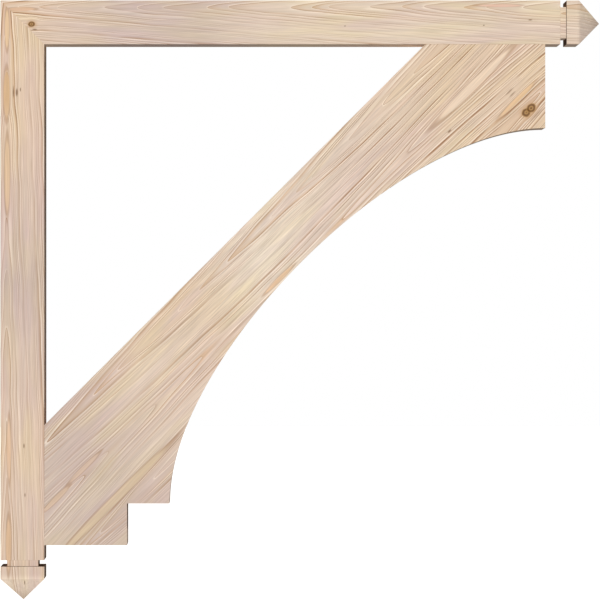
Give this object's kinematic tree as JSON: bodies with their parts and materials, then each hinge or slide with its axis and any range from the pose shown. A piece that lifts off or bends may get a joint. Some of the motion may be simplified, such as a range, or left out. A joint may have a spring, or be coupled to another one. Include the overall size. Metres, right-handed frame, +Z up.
{
  "type": "wooden corbel bracket",
  "caption": "Triangular timber bracket with a wall post, a top beam and a curved diagonal brace, its free ends cut to low pyramids above a square groove.",
  "frame": {"origin": "middle of the post's flat wall face, halfway through the thickness and halfway between the top face and the shoulder of the lower groove", "axes": "+X out from the wall along the beam, +Z up along the post, +Y through the thickness, away from the side that the picture shows"},
  "size_m": [1.2192, 0.0888, 1.2192],
  "materials": {
    "post_wood": "bare planed softwood, grain along the post",
    "beam_wood": "bare planed softwood, grain along the beam",
    "brace_wood": "bare planed softwood, grain along the diagonal"
  },
  "bodies": {
    "root": {"post": "post_wood", "beam": "beam_wood", "brace": "brace_wood"}
  },
  "joints": []
}
